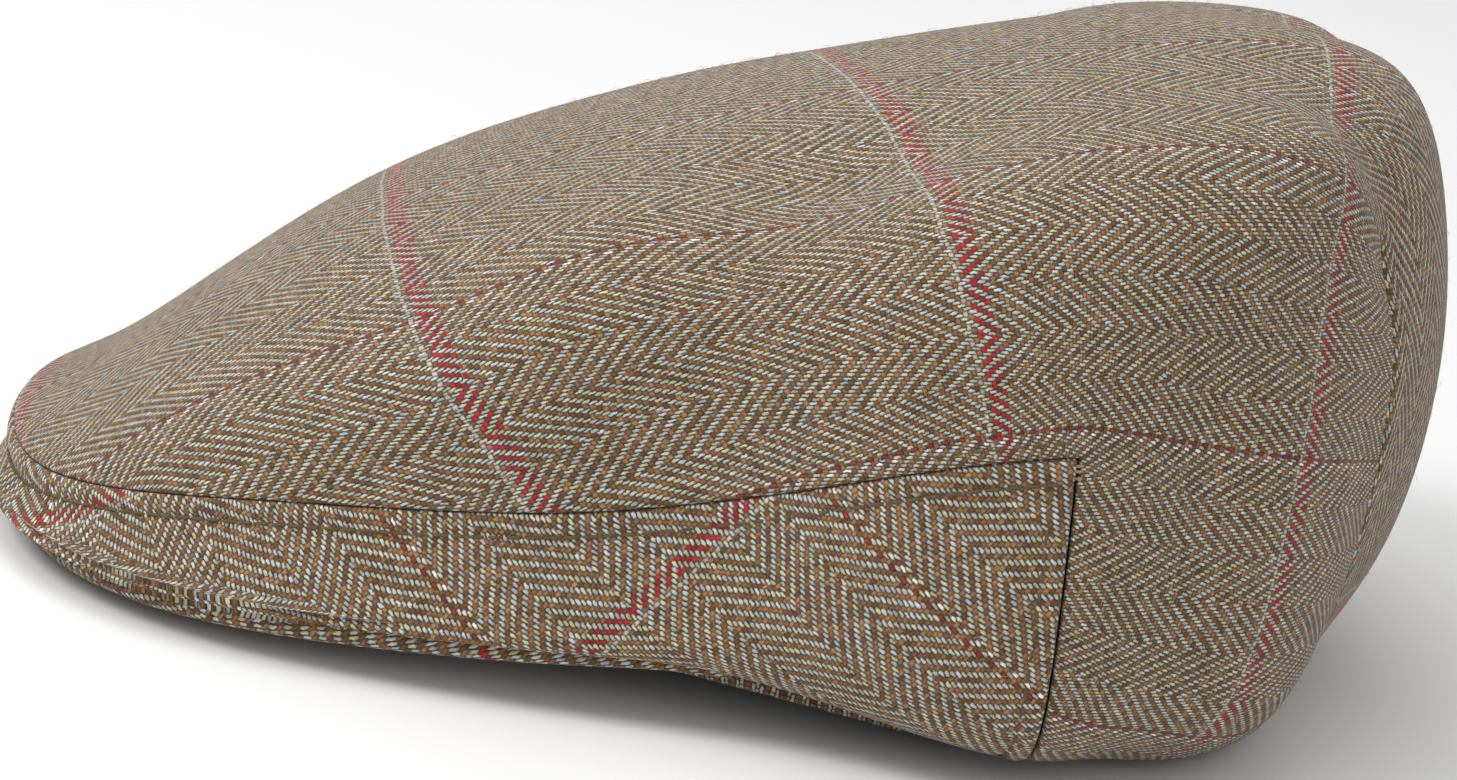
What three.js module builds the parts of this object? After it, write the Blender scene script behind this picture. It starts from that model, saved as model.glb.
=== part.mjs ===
// A tweed flat cap that stands on its rim and on the edge of its peak.
// Units are millimetres. +Z is up, the peak points to -Y and the wearer's left is +X.
// The skin is one surface. Its sections turn round an upright crown axis, from the middle of the
// front to the middle of the back, and each section climbs from the turned hem to the crown's axis.

import * as THREE from 'three';
import { mergeVertices } from 'three/addons/utils/BufferGeometryUtils.js';

// Driving sizes
const CAP_LENGTH = 278;
const CAP_WIDTH = 220;
const CROWN_HEIGHT = 125;
const FRONT_SHARE = 0.69;
const AXIS_RISE = 0.95;
const CLOTH_WALL = 2;
const SEAM_GAP = 0.3;
const PEAK_THICKNESS = 5;
const PEAK_SETBACK = 1;
const PEAK_SLOPE = 0.08;
const PEAK_CLEARANCE = 0.4;
const HEAD_BAND_WALL = 2;
const HEAD_BAND_HEIGHT = 28;

// How finely the solids are faceted
const COLUMNS_PER_SECTION = 4;
const STEPS_PER_LEVEL = 3;

// Places on the skin, counted in sections from the front and in levels from the hem
const SIDE_SEAM = 5;
const PEAK_CORNER = 3.5;
const PEAK_FADE = 1.6;
const PEAK_CORNER_SHARE = 0.3;
const BACK = 8;
const EDGE_LEVEL = 1;
const SEAM_LEVEL = 3;
const AXIS_LEVEL = 7;

// Each section's turn in degrees from the front, and how far each level reaches out from the
// crown's axis, as a share of the cap's reach in that direction
const REACH = [
  { turn: 0, hem: 0.70, edge: 0.97, low: 0.99, seam: 0.99, flank: 0.92, shoulder: 0.735, top: 0.48 },
  { turn: 29, hem: 0.74, edge: 1.04, low: 1.05, seam: 1.03, flank: 0.95, shoulder: 0.76, top: 0.495 },
  { turn: 51, hem: 0.79, edge: 1.08, low: 1.07, seam: 1.01, flank: 0.96, shoulder: 0.78, top: 0.505 },
  { turn: 70, hem: 0.81, edge: 0.93, low: 0.98, seam: 0.93, flank: 0.91, shoulder: 0.76, top: 0.48 },
  { turn: 85, hem: 0.80, edge: 0.83, low: 0.96, seam: 0.96, flank: 0.90, shoulder: 0.745, top: 0.44 },
  { turn: 106, hem: 0.77, edge: 0.81, low: 1.01, seam: 0.97, flank: 0.90, shoulder: 0.745, top: 0.425 },
  { turn: 135, hem: 0.78, edge: 0.85, low: 1.02, seam: 1.00, flank: 0.94, shoulder: 0.78, top: 0.455 },
  { turn: 158, hem: 0.73, edge: 0.79, low: 0.91, seam: 0.96, flank: 0.93, shoulder: 0.79, top: 0.49 },
  { turn: 180, hem: 0.70, edge: 0.76, low: 0.93, seam: 1.00, flank: 0.97, shoulder: 0.84, top: 0.555 },
];

// The height of the same levels, as a share of the crown's height
const RISE = [
  { hem: 0.08, edge: 0.046, low: 0.08, seam: 0.135, flank: 0.20, shoulder: 0.445, top: 0.67 },
  { hem: 0.08, edge: 0.050, low: 0.078, seam: 0.13, flank: 0.25, shoulder: 0.49, top: 0.69 },
  { hem: 0.08, edge: 0.070, low: 0.09, seam: 0.215, flank: 0.375, shoulder: 0.585, top: 0.745 },
  { hem: 0.08, edge: 0.090, low: 0.12, seam: 0.30, flank: 0.55, shoulder: 0.725, top: 0.82 },
  { hem: 0.06, edge: 0.065, low: 0.14, seam: 0.425, flank: 0.68, shoulder: 0.815, top: 0.87 },
  { hem: 0.04, edge: 0.024, low: 0.13, seam: 0.51, flank: 0.75, shoulder: 0.88, top: 0.92 },
  { hem: 0.03, edge: 0.010, low: 0.16, seam: 0.505, flank: 0.77, shoulder: 0.925, top: 0.95 },
  { hem: 0.03, edge: 0.010, low: 0.19, seam: 0.48, flank: 0.745, shoulder: 0.93, top: 0.97 },
  { hem: 0.03, edge: 0.010, low: 0.19, seam: 0.46, flank: 0.705, shoulder: 0.93, top: 0.99 },
];

// The head band's bottom edge at each section, as a share of the crown's height
const BAND_BOTTOM = [0.03, 0.03, 0.04, 0.05, 0.03, 0, 0, 0, 0];

// Folds and dents, each a line between two places on the skin. Widths and depths are shares of the
// cap's width.
const FOLDS = [
  { name: 'back dart', from: [7, 1.3], to: [7, 4.1], width: 0.018, depth: 0.011 },
  { name: 'valley over the dart', from: [7, 4.0], to: [6.95, 5.0], width: 0.055, depth: 0.016 },
  { name: 'dent over the peak corner', from: [3.45, 2.4], to: [3.3, 5.4], width: 0.10, depth: 0.028 },
  { name: 'dent in the back side', from: [5.6, 3.4], to: [6.2, 4.0], width: 0.07, depth: 0.012 },
  { name: 'hollow behind the side seam', from: [5.4, 1.6], to: [5.5, 2.9], width: 0.05, depth: 0.008 },
];
const FOLD_SAMPLES = 8;

const LEVELS = ['hem', 'edge', 'low', 'seam', 'flank', 'shoulder', 'top'];

// A smooth curve through evenly counted values, at a fraction between the middle two
function blend(before, start, end, after, u) {
  const slope = end - before;
  const bend = 2 * before - 5 * start + 4 * end - after;
  const twist = 3 * start - before - 3 * end + after;
  return 0.5 * (2 * start + slope * u + bend * u * u + twist * u * u * u);
}

// The value at a place along a list whose two ends are set by the rule given for indexes past them
function along(valueAt, place, last) {
  const i = Math.min(Math.max(Math.floor(place), 0), last - 1);
  return blend(valueAt(i - 1), valueAt(i), valueAt(i + 1), valueAt(i + 2), place - i);
}

// Sections repeat as in a mirror at the front and at the back
function mirrored(list) {
  return (i) => {
    const k = Math.abs(i);
    return list[k > BACK ? 2 * BACK - k : k];
  };
}

function turnAt(i) {
  const k = Math.abs(i);
  const turn = k > BACK ? 360 - REACH[2 * BACK - k].turn : REACH[k].turn;
  return i < 0 ? -turn : turn;
}

// One section's levels at any place round the cap: its turn, reaches and rises
function section(place) {
  const reach = LEVELS.map((level) => along(mirrored(REACH.map((row) => row[level])), place, BACK));
  const rise = LEVELS.map((level) => along(mirrored(RISE.map((row) => row[level])), place, BACK));
  return { turn: along(turnAt, place, BACK), reach, rise };
}

// The direction and size of one unit of reach
function spread(turn) {
  const angle = THREE.MathUtils.degToRad(turn);
  const share = Math.abs(turn) < 90 ? FRONT_SHARE : 1 - FRONT_SHARE;
  return [CAP_WIDTH / 2 * Math.sin(angle), -CAP_LENGTH * share * Math.cos(angle)];
}

// A point of the smooth skin. Past its ends a section goes straight on at the hem, and at the
// crown's axis it meets its own mirror image.
function smoothSkin(place, level) {
  const side = place < 0 ? -1 : 1;
  const { turn, reach, rise } = section(Math.abs(place));
  const last = LEVELS.length;
  const extend = (list, end, beyond) => (i) => {
    if (i < 0) return 2 * list[0] - list[1];
    if (i === last) return end;
    return i > last ? beyond * list[last - 1] : list[i];
  };
  const out = along(extend(reach, 0, -1), level, last);
  const up = along(extend(rise, AXIS_RISE, 1), level, last);
  const [across, ahead] = spread(turn);
  return new THREE.Vector3(side * across * out, ahead * out, CROWN_HEIGHT * up);
}

// The outward normal of the smooth skin
function skinNormal(place, level) {
  if (level > AXIS_LEVEL - 0.02) return new THREE.Vector3(0, 0, 1);
  const step = 0.01;
  const round = smoothSkin(place + step, level).sub(smoothSkin(place - step, level));
  const climb = smoothSkin(place, level + step).sub(smoothSkin(place, level - step));
  return round.cross(climb).normalize();
}

// Each fold's own points, on the left side and on its mirror image
const foldLines = FOLDS.flatMap((fold) => [1, -1].map((side) => {
  const points = [];
  for (let k = 0; k <= FOLD_SAMPLES; k += 1) {
    const u = k / FOLD_SAMPLES;
    const place = THREE.MathUtils.lerp(fold.from[0], fold.to[0], u);
    points.push(smoothSkin(side * place, THREE.MathUtils.lerp(fold.from[1], fold.to[1], u)));
  }
  return { ...fold, points };
}));

// The distance from a point to a line of short straight stretches
function lineDistance(point, line) {
  const stretch = new THREE.Line3();
  const nearest = new THREE.Vector3();
  let least = Infinity;
  for (let k = 1; k < line.length; k += 1) {
    stretch.set(line[k - 1], line[k]).closestPointToPoint(point, true, nearest);
    least = Math.min(least, nearest.distanceTo(point));
  }
  return least;
}

// The skin with its folds pressed in, and the same point a wall's depth inside
function skin(place, level, depth = 0) {
  const point = smoothSkin(place, level);
  const normal = skinNormal(place, level);
  let press = depth;
  for (const fold of foldLines) {
    const share = lineDistance(point, fold.points) / (fold.width * CAP_WIDTH);
    press += fold.depth * CAP_WIDTH * Math.exp(-share * share);
  }
  return point.addScaledVector(normal, -press);
}

// A closed solid from quads and triangles given as lists of corner points
class Shell {
  constructor() {
    this.corners = [];
  }

  triangle(a, b, c) {
    const area = new THREE.Triangle(a, b, c).getArea();
    if (area > 1e-9) this.corners.push(a, b, c);
  }

  quad(a, b, c, d) {
    this.triangle(a, b, c);
    this.triangle(a, c, d);
  }

  geometry() {
    const raw = new THREE.BufferGeometry().setFromPoints(this.corners);
    const merged = mergeVertices(raw, 1e-4);
    merged.computeVertexNormals();
    return merged;
  }
}

// Thickens the wanted cells of a grid on the skin. Columns run round the cap, rows climb it.
function clothWall(columns, rows, wanted, closed) {
  const outer = columns.map((s) => rows.map((t) => skin(s, t)));
  const inner = columns.map((s) => rows.map((t) => skin(s, t, CLOTH_WALL)));
  const count = closed ? columns.length : columns.length - 1;
  const next = (i) => (i + 1) % columns.length;
  const has = (i, j) => {
    if (j < 0 || j >= rows.length - 1) return false;
    if (!closed && (i < 0 || i >= count)) return false;
    return wanted((i + count) % count, j);
  };
  const shell = new Shell();
  for (let i = 0; i < count; i += 1) {
    for (let j = 0; j < rows.length - 1; j += 1) {
      if (!has(i, j)) continue;
      const k = next(i);
      shell.quad(outer[i][j], outer[k][j], outer[k][j + 1], outer[i][j + 1]);
      shell.quad(inner[i][j], inner[i][j + 1], inner[k][j + 1], inner[k][j]);
      const atAxis = rows[j + 1] >= AXIS_LEVEL;
      if (!has(i, j - 1)) shell.quad(inner[i][j], inner[k][j], outer[k][j], outer[i][j]);
      if (!atAxis && !has(i, j + 1)) {
        shell.quad(outer[i][j + 1], outer[k][j + 1], inner[k][j + 1], inner[i][j + 1]);
      }
      if (!has(i - 1, j)) shell.quad(outer[i][j], outer[i][j + 1], inner[i][j + 1], inner[i][j]);
      if (!has(i + 1, j)) shell.quad(inner[k][j], inner[k][j + 1], outer[k][j + 1], outer[k][j]);
    }
  }
  return shell.geometry();
}

// Evenly spaced places from one value to another
function evenly(from, to, count) {
  return Array.from({ length: count + 1 }, (_, i) => THREE.MathUtils.lerp(from, to, i / count));
}

// Half a seam's gap, counted in levels and in sections
const levelLength = smoothSkin(SIDE_SEAM, SEAM_LEVEL).distanceTo(smoothSkin(SIDE_SEAM, SEAM_LEVEL - 1));
const sectionLength = smoothSkin(SIDE_SEAM, SEAM_LEVEL).distanceTo(smoothSkin(SIDE_SEAM + 1, SEAM_LEVEL));
const narrowLevel = smoothSkin(0, SEAM_LEVEL).distanceTo(smoothSkin(0, SEAM_LEVEL - 1));
const LEVEL_GAP = SEAM_GAP / 2 / Math.min(levelLength, narrowLevel);
const SECTION_GAP = SEAM_GAP / 2 / sectionLength;

// The one-piece top. It ends on the front band's top seam, and behind the side seams it goes on
// down to the hem.
function crownGeometry() {
  const half = [
    ...evenly(0, SIDE_SEAM, SIDE_SEAM * COLUMNS_PER_SECTION).slice(0, -1),
    SIDE_SEAM + SECTION_GAP,
    ...evenly(SIDE_SEAM, BACK, (BACK - SIDE_SEAM) * COLUMNS_PER_SECTION).slice(1),
  ];
  const left = half.slice(1, -1);
  const columns = [...half, ...left.map((s) => -s).reverse()];
  const rows = [
    ...evenly(0, SEAM_LEVEL, SEAM_LEVEL * STEPS_PER_LEVEL).slice(0, -1),
    SEAM_LEVEL + LEVEL_GAP,
    ...evenly(SEAM_LEVEL, AXIS_LEVEL, (AXIS_LEVEL - SEAM_LEVEL) * STEPS_PER_LEVEL).slice(1),
  ];
  const firstSide = half.indexOf(SIDE_SEAM + SECTION_GAP);
  const lastSide = columns.length - firstSide;
  const wanted = (i, j) => rows[j] >= SEAM_LEVEL || (i >= firstSide && i < lastSide);
  return clothWall(columns, rows, wanted, true);
}

// The front band runs from side seam to side seam over the peak and the head band
function frontBandGeometry() {
  const end = SIDE_SEAM - SECTION_GAP;
  const between = evenly(-SIDE_SEAM, SIDE_SEAM, 2 * SIDE_SEAM * COLUMNS_PER_SECTION).slice(1, -1);
  const columns = [-end, ...between, end];
  const levels = SEAM_LEVEL - EDGE_LEVEL;
  const rows = evenly(EDGE_LEVEL, SEAM_LEVEL - LEVEL_GAP, levels * STEPS_PER_LEVEL);
  return clothWall(columns, rows, () => true, false);
}

// The head band's outer wall lies just inside the hem
function headBandPoint(place, inset, height) {
  const hem = smoothSkin(place, 0).setZ(0);
  const clear = CLOTH_WALL + SEAM_GAP + inset;
  const point = hem.clone().addScaledVector(hem.clone().normalize(), -clear);
  return point.setZ(height);
}

function bandBottom(place) {
  return CROWN_HEIGHT * Math.max(0, along(mirrored(BAND_BOTTOM), Math.abs(place), BACK));
}

// A closed ring of four-cornered sections
function ringGeometry(sections) {
  const shell = new Shell();
  for (let i = 0; i < sections.length; i += 1) {
    const here = sections[i];
    const there = sections[(i + 1) % sections.length];
    for (let c = 0; c < here.length; c += 1) {
      const d = (c + 1) % here.length;
      shell.quad(here[c], there[c], there[d], here[d]);
    }
  }
  return shell.geometry();
}

function headBandGeometry() {
  const count = 2 * BACK * COLUMNS_PER_SECTION;
  const places = evenly(-BACK, BACK, count).slice(0, -1);
  return ringGeometry(places.map((s) => {
    const bottom = bandBottom(s);
    const top = bottom + HEAD_BAND_HEIGHT;
    return [
      headBandPoint(s, 0, bottom),
      headBandPoint(s, 0, top),
      headBandPoint(s, HEAD_BAND_WALL, top),
      headBandPoint(s, HEAD_BAND_WALL, bottom),
    ];
  }));
}

// The peak thins out towards its two corners
function peakThickness(place) {
  const fade = Math.min((PEAK_CORNER - Math.abs(place)) / PEAK_FADE, 1);
  return PEAK_THICKNESS * THREE.MathUtils.lerp(PEAK_CORNER_SHARE, 1, Math.sin(fade * Math.PI / 2));
}

// The peak is a crescent between the head band and the front band's lower edge. The front band
// sits on its outer rim.
function peakGeometry() {
  const places = evenly(-PEAK_CORNER, PEAK_CORNER, Math.round(2 * PEAK_CORNER * COLUMNS_PER_SECTION));
  const sections = places.map((s) => {
    const edge = smoothSkin(s, EDGE_LEVEL);
    const flat = edge.clone().setZ(0);
    const rim = flat.addScaledVector(flat.clone().normalize(), -PEAK_SETBACK);
    const root = headBandPoint(s, -SEAM_GAP, 0);
    const rimTop = Math.min(edge.z, skin(s, EDGE_LEVEL, CLOTH_WALL).z) - PEAK_CLEARANCE;
    const lift = PEAK_SLOPE * rim.distanceTo(root);
    const thickness = peakThickness(s);
    return [
      rim.clone().setZ(rimTop - thickness),
      rim.clone().setZ(rimTop),
      root.clone().setZ(rimTop + lift),
      root.clone().setZ(rimTop + lift - thickness),
    ];
  });
  const shell = new Shell();
  for (let i = 1; i < sections.length; i += 1) {
    const [here, there] = [sections[i - 1], sections[i]];
    for (let c = 0; c < 4; c += 1) {
      const d = (c + 1) % 4;
      shell.quad(here[c], there[c], there[d], here[d]);
    }
  }
  const [first, last] = [sections[0], sections[sections.length - 1]];
  shell.quad(first[0], first[1], first[2], first[3]);
  shell.quad(last[3], last[2], last[1], last[0]);
  return shell.geometry();
}

const tweed = new THREE.MeshStandardMaterial({ color: 0x7d7158, roughness: 0.95, metalness: 0 });
const peakTweed = new THREE.MeshStandardMaterial({ color: 0x6f6450, roughness: 0.95, metalness: 0 });

const pieces = {
  crown: [crownGeometry(), tweed],
  front_band: [frontBandGeometry(), tweed],
  peak: [peakGeometry(), peakTweed],
  head_band: [headBandGeometry(), tweed],
};

const cap = new THREE.Group();
for (const [name, [geometry, material]] of Object.entries(pieces)) {
  const mesh = new THREE.Mesh(geometry, material);
  mesh.name = name;
  cap.add(mesh);
}

// The cap's frame has its origin on the ground, under the middle of its box
const box = new THREE.Box3().setFromObject(cap);
cap.position.y = -(box.min.y + box.max.y) / 2;
cap.position.z = -box.min.z;
cap.updateMatrixWorld(true);

export default cap;
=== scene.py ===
"""Dresses the flat cap's solids in herringbone tweed, with its seams, stitches and loose fibres."""

import math

import bpy
import numpy as np
from bpy.props import FloatProperty, FloatVectorProperty, IntProperty, PointerProperty
from mathutils import Matrix, Vector


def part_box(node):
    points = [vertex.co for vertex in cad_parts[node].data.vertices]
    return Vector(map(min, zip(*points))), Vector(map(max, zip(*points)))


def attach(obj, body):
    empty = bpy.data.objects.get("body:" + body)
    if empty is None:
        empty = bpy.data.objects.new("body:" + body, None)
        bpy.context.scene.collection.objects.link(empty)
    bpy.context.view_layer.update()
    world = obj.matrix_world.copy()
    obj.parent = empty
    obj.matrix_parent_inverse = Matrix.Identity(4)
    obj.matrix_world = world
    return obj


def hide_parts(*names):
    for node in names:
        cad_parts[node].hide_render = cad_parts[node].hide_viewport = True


bl_info = {
    "name": "Tweed Flat Cap",
    "version": (1, 0, 0),
    "blender": (4, 5, 0),
    "location": "3D View > Sidebar > Cap",
    "description": "Makes a tweed flat cap's cloth, seams, stitches and studio round its solids",
    "category": "Object",
}

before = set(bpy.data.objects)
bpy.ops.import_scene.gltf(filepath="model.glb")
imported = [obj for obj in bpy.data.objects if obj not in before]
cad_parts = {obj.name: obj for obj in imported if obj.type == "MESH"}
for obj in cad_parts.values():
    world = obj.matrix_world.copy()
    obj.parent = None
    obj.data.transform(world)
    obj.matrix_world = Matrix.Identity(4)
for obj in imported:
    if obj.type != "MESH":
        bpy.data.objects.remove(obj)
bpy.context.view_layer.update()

MM = 0.001

# The cap's skin, as in its solids: sections turn round the crown's axis from the middle of the
# front to the middle of the back, and climb from the turned hem to the axis.
HEM, EDGE, LOW, SEAM, FLANK, SHOULDER, TOP, AXIS = range(8)
BACK = 8
AROUND = 2 * BACK
SIDE_SEAM = 5
DART = 7
DART_TOP = 4.1
PEAK_CORNER = 3.5

# Each section's turn in degrees, then its levels' reach from the axis, as a share of the cap's
# reach in that direction
REACH = (
    (0, 0.70, 0.97, 0.99, 0.99, 0.92, 0.735, 0.48),
    (29, 0.74, 1.04, 1.05, 1.03, 0.95, 0.76, 0.495),
    (51, 0.79, 1.08, 1.07, 1.01, 0.96, 0.78, 0.505),
    (70, 0.81, 0.93, 0.98, 0.93, 0.91, 0.76, 0.48),
    (85, 0.80, 0.83, 0.96, 0.96, 0.90, 0.745, 0.44),
    (106, 0.77, 0.81, 1.01, 0.97, 0.90, 0.745, 0.425),
    (135, 0.78, 0.85, 1.02, 1.00, 0.94, 0.78, 0.455),
    (158, 0.73, 0.79, 0.91, 0.96, 0.93, 0.79, 0.49),
    (180, 0.70, 0.76, 0.93, 1.00, 0.97, 0.84, 0.555),
)

# The levels' heights at each section, as a share of the crown's height
RISE = (
    (0.08, 0.046, 0.08, 0.135, 0.20, 0.445, 0.67),
    (0.08, 0.050, 0.078, 0.13, 0.25, 0.49, 0.69),
    (0.08, 0.070, 0.09, 0.215, 0.375, 0.585, 0.745),
    (0.08, 0.090, 0.12, 0.30, 0.55, 0.725, 0.82),
    (0.06, 0.065, 0.14, 0.425, 0.68, 0.815, 0.87),
    (0.04, 0.024, 0.13, 0.51, 0.75, 0.88, 0.92),
    (0.03, 0.010, 0.16, 0.505, 0.77, 0.925, 0.95),
    (0.03, 0.010, 0.19, 0.48, 0.745, 0.93, 0.97),
    (0.03, 0.010, 0.19, 0.46, 0.705, 0.93, 0.99),
)

# The head band's bottom edge at each section, as a share of the crown's height
BAND_BOTTOM = (0.03, 0.03, 0.04, 0.05, 0.03, 0, 0, 0, 0)

# Folds and dents pressed into the skin: name, sides that have it, the line as places (section,
# level), then its width and depth in mm. A negative depth stands out.
FOLDS = (
    ("back dart", (1, -1), ((7, 1.0), (7, 2.5), (7, 4.1)), 1.3, 1.5),
    ("valley over the dart", (1, -1), ((7, 4.0), (6.97, 4.5), (6.95, 5.0)), 12, 3.6),
    ("dent over the peak corner", (1, -1), ((3.45, 2.8), (3.35, 3.6), (3.3, 5.4)), 22, 6.0),
    ("dent in the back side", (1,), ((5.6, 3.4), (6.2, 4.0)), 15, 2.6),
    ("hollow behind the side seam", (1, -1), ((5.4, 1.6), (5.5, 2.9)), 11, 1.8),
)

# How the crown's cloth lies off the straight: at each run in mm from front to back, its push to the
# left, how far a pick leans back over LEAN_RUN to the left, and its shift, in mm
LEAN_RUN = 100
EASE = (
    (-110, 0, 10, -10),
    (-75, 1, 15, -5),
    (-15, -10, 25, 0),
    (45, -7, 30, 0),
    (70, -5, 32, 0),
    (100, -1, 31, 0),
    (120, 4, 24, 0),
    (145, 10, 17, 0),
    (165, 16, 14, 0),
    (190, 23, 8, -6),
    (230, 29, 4, -14),
    (265, 30, 0, -21),
)

# The front band is cut on a curve: its turn at the sides in degrees, the half length that it bends
# over and the run of its middle line, in mm. BEND_RUN is longer than half the band.
BAND_BEND = (54, 90, -28)
BEND_RUN = 400


def length_property(name, description, metres):
    """A length that a user can change."""
    return FloatProperty(name=name, description=description, default=metres, unit="LENGTH")


def share_property(name, description, share):
    """A share of another size that a user can change."""
    return FloatProperty(name=name, description=description, default=share, subtype="FACTOR")


class CapSizes(bpy.types.PropertyGroup):
    """The sizes a cap maker would change"""

    length: length_property("Length", "Peak to back", 0.278)
    width: length_property("Width", "Side to side", 0.220)
    height: length_property("Height", "Ground to the top of the crown", 0.125)
    front_share: share_property(
        "Front share", "Share of the length before the crown's axis", 0.69)
    axis_rise: share_property(
        "Axis rise", "Height of the crown at its axis, as a share of the height", 0.95)
    wall: length_property("Wall", "Thickness of the lined cloth", 0.0018)
    seam_gap: length_property("Seam gap", "Gap between sewn pieces", 0.00014)
    seam_radius: length_property(
        "Seam radius", "Radius of the cloth's turned edges at a seam", 0.0008)
    stitch_length: length_property("Stitch length", "Length of one topstitch", 0.0031)
    stitch_inset: length_property(
        "Stitch inset", "Topstitching's distance from its seam", 0.0045)
    thread_radius: length_property("Thread radius", "Radius of the sewing thread", 0.00034)
    peak_thickness: length_property("Peak thickness", "Thickness of the covered peak", 0.005)
    head_band_height: length_property(
        "Head band height", "Height of the band round the head", 0.028)
    fibre_length: length_property("Fibre length", "Length of the loose fibres", 0.0018)
    fibre_radius: length_property("Fibre radius", "Radius of the loose fibres", 0.000032)
    fibre_density: FloatProperty(
        name="Fibre density", description="Loose fibres to a square metre", default=42000.0)
    seed: IntProperty(name="Seed", description="Seed of the scattered fibres", default=7)


def colour_property(name, description, colour):
    """A colour that a user can change."""
    return FloatVectorProperty(
        name=name, description=description, subtype="COLOR", size=4, min=0, max=1,
        default=(*colour, 1))


class CapColours(bpy.types.PropertyGroup):
    """The colours of the yarns, the thread and the studio"""

    sage: colour_property("Sage warp", "Every second warp end", (0.46, 0.43, 0.25))
    lilac: colour_property("Blue warp", "The warp ends between", (0.42, 0.485, 0.54))
    brown: colour_property("Brown weft", "The weft's main colour", (0.18, 0.088, 0.040))
    tan: colour_property("Tan weft", "Lighter fibres in the weft", (0.35, 0.185, 0.085))
    orange: colour_property("Orange weft", "Bright fibres in the weft", (0.52, 0.21, 0.062))
    gap: colour_property("Gap", "The shade between yarns", (0.030, 0.018, 0.010))
    crimson: colour_property("Crimson end", "The overcheck's dark end", (0.24, 0.035, 0.035))
    white: colour_property("White end", "The overcheck's pale end", (0.75, 0.70, 0.68))
    cream: colour_property("Cream pick", "The overcheck's pale pick", (0.55, 0.46, 0.40))
    red: colour_property("Red pick", "The overcheck's red picks", (0.44, 0.022, 0.028))
    thread: colour_property("Thread", "The sewing thread", (0.12, 0.09, 0.045))
    tack: colour_property("Tack", "The tacks at the side seams", (0.40, 0.22, 0.16))
    fibre: colour_property("Fibre", "The loose fibres", (0.50, 0.42, 0.32))
    floor: colour_property("Floor", "The studio floor", (0.86, 0.86, 0.86))


def sizes():
    """The scene's sizes."""
    return bpy.context.scene.cap_sizes


def colours():
    """The scene's colours."""
    return bpy.context.scene.cap_colours


def linked(name, data):
    """A new object in the scene."""
    piece = bpy.data.objects.new(name, data)
    bpy.context.scene.collection.objects.link(piece)
    return piece


def unit(vectors):
    """The same directions at length 1."""
    return vectors / np.linalg.norm(vectors, axis=-1, keepdims=True)


def run_along(line):
    """The running length at each point of a line."""
    return np.append(0, np.cumsum(np.linalg.norm(np.diff(line, axis=0), axis=-1)))


def read_at(where, run, values):
    """The values of a line's points, read at some running lengths."""
    return np.stack([np.interp(where, run, values[:, k]) for k in range(3)], axis=-1)


# The cap's skin


def curve(values, places, closed):
    """A smooth cubic through evenly counted values along their first axis, at the given places."""
    values = np.asarray(values, float)
    places = np.asarray(places, float)
    count = len(values)
    flat = values.reshape(count, -1)
    bands = 4 * np.eye(count)
    if closed:
        bands += np.roll(np.eye(count), 1, axis=1) + np.roll(np.eye(count), -1, axis=1)
        right = 3 * (np.roll(flat, -1, axis=0) - np.roll(flat, 1, axis=0))
    else:
        bands += np.eye(count, k=1) + np.eye(count, k=-1)
        bands[0, 0] = bands[-1, -1] = 2
        padded = np.concatenate([flat[:1], flat, flat[-1:]])
        right = 3 * (padded[2:] - padded[:-2])
    slopes = np.linalg.solve(bands, right)
    start = np.floor(places).astype(int)
    if not closed:
        start = np.clip(start, 0, count - 2)
    u = (places - start)[:, None]
    start, after = start % count, (start + 1) % count
    a, b = flat[start], flat[after]
    p, q = slopes[start], slopes[after]
    bend = 3 * (b - a) - 2 * p - q
    twist = 2 * (a - b) + p + q
    result = a + u * (p + u * (bend + u * twist))
    return result.reshape(len(places), *values.shape[1:])


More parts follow.
